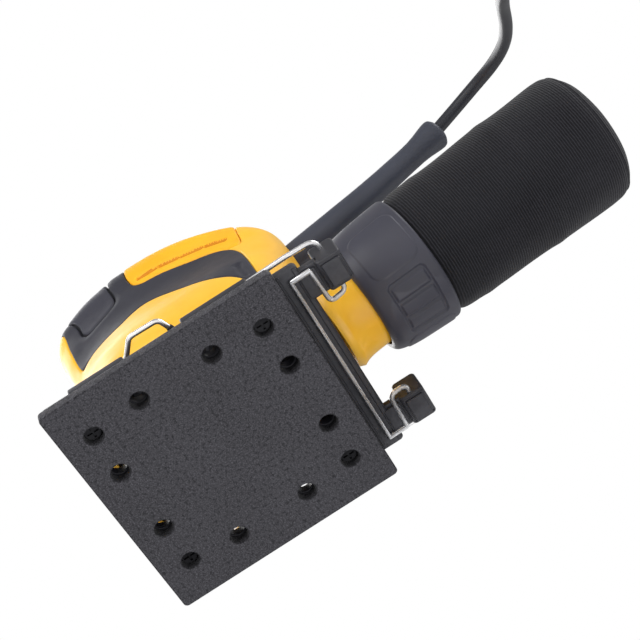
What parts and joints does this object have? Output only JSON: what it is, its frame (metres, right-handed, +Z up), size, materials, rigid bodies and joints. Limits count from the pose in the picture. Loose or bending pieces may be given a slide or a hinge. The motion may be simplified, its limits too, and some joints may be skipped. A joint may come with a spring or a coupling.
{
  "type": "quarter-sheet palm sander",
  "caption": "Electric palm sander with a square perforated foam pad, wire paper clamps, palm grip, dust bag on a rear outlet and a mains lead with plug.",
  "frame": {"origin": "centre of the sanding pad's working face", "axes": "+Z up from the pad through the motor, -Y to the front of the tool, +Y to the dust bag"},
  "size_m": [0.2494, 0.2888, 0.1441],
  "materials": {
    "yellow_shell": "satin moulded",
    "palm_rubber": "soft matte",
    "dark_overmould": "soft satin",
    "rocker_rubber": "fine grain",
    "dark_plastic": "satin moulded",
    "foam": "closed-cell foam",
    "black_plastic": "moulded",
    "seal_rubber": "matte",
    "chrome_wire": "bright drawn wire",
    "zinc_steel": "zinc plated",
    "bearing_steel": "ground",
    "cast_weight": "cast",
    "laminated_steel": "stacked laminations",
    "copper": "enamelled wire",
    "brass_part": "drawn",
    "carbon": "carbon",
    "fan_plastic": "moulded",
    "bag_cloth": "ribbed weave",
    "cord_rubber": "satin",
    "tie_cloth": "hook and loop",
    "plug_plastic": "moulded",
    "pin_brass": "nickel plated"
  },
  "bodies": {
    "body": {"housing_right": "yellow_shell", "housing_left": "yellow_shell", "rear_shell": "yellow_shell", "dust_outlet": "yellow_shell", "palm_pad": "palm_rubber", "grip_surround": "dark_overmould", "sole_plate": "black_plastic", "fan_chamber_ring": "black_plastic", "skirt_seal": "seal_rubber", "outlet_seal": "seal_rubber", "support_legs": "seal_rubber", "housing_screws": "zinc_steel", "clamp_screws": "zinc_steel", "rocker_pin": "zinc_steel", "lower_bearing": "bearing_steel", "upper_bearing": "bearing_steel", "stator_core": "laminated_steel", "field_coils": "copper", "brush_holders": "brass_part", "brush_springs": "zinc_steel", "carbon_brushes": "carbon", "lower_bearing_bracket": "black_plastic", "upper_bearing_bracket": "black_plastic", "switch_module": "black_plastic", "suppressor": "fan_plastic", "lead_clamp": "black_plastic", "cord_sleeve": "cord_rubber", "cord_run": "cord_rubber", "cord_coil": "cord_rubber", "cord_tail": "cord_rubber", "cord_tie": "tie_cloth", "plug_body": "plug_plastic", "plug_pins": "pin_brass"},
    "rotor": {"armature_shaft": "bearing_steel", "armature_core": "laminated_steel", "armature_windings": "copper", "commutator": "copper", "fan": "fan_plastic", "crank_counterweight": "cast_weight"},
    "platen": {"foam_pad": "foam", "platen": "black_plastic", "pad_screws": "zinc_steel", "lever_catches": "black_plastic", "orbit_bearing": "bearing_steel", "leg_feet": "black_plastic"},
    "rear_bar": {"rear_clamp_bar": "chrome_wire"},
    "rear_lever_arms": {"rear_lever": "chrome_wire"},
    "front_bar": {"front_clamp_bar": "chrome_wire"},
    "front_lever_arms": {"front_lever": "chrome_wire"},
    "dust_bag_unit": {"bag_collar": "dark_plastic", "dust_bag": "bag_cloth", "bag_frame": "zinc_steel"},
    "rocker": {"switch_rocker": "rocker_rubber"}
  },
  "joints": [
    {"name": "motor_spin", "type": "hinge", "parent": "body", "child": "rotor", "pos_m": [0, -0.0008, 0.06], "axis": [0, 0, 1], "continuous": true},
    {"name": "platen_orbit", "type": "hinge", "parent": "rotor", "child": "platen", "pos_m": [0, 0, 0.016], "axis": [0, 0, 1], "continuous": true},
    {"name": "rear_lever_lift", "type": "hinge", "parent": "platen", "child": "rear_lever_arms", "pos_m": [0, 0.076, 0.0164], "axis": [-1, 0, 0], "range_deg": [0, 60]},
    {"name": "rear_bar_drop", "type": "hinge", "parent": "platen", "child": "rear_bar", "pos_m": [0, 0.076, 0.0092], "axis": [1, 0, 0], "range_deg": [0, 20]},
    {"name": "front_lever_lift", "type": "hinge", "parent": "platen", "child": "front_lever_arms", "pos_m": [0, -0.041, 0.0184], "axis": [1, 0, 0], "range_deg": [0, 60]},
    {"name": "front_bar_lift", "type": "hinge", "parent": "platen", "child": "front_bar", "pos_m": [0, -0.041, 0.0134], "axis": [-1, 0, 0], "range_deg": [0, 30]},
    {"name": "dust_bag_pull", "type": "slide", "parent": "body", "child": "dust_bag_unit", "axis": [0, 0.9917, 0.1288], "range_m": [0, 0.045]},
    {"name": "switch_press", "type": "hinge", "parent": "body", "child": "rocker", "pos_m": [0, -0.0195, 0.118], "axis": [1, 0, 0], "range_deg": [0, 1.6]}
  ],
  "couplings": [
    {"joint": "platen_orbit", "follows": "motor_spin", "ratio": -1},
    {"joint": "rear_bar_drop", "follows": "rear_lever_lift", "ratio": 0.33333},
    {"joint": "front_bar_lift", "follows": "front_lever_lift", "ratio": 0.5}
  ]
}
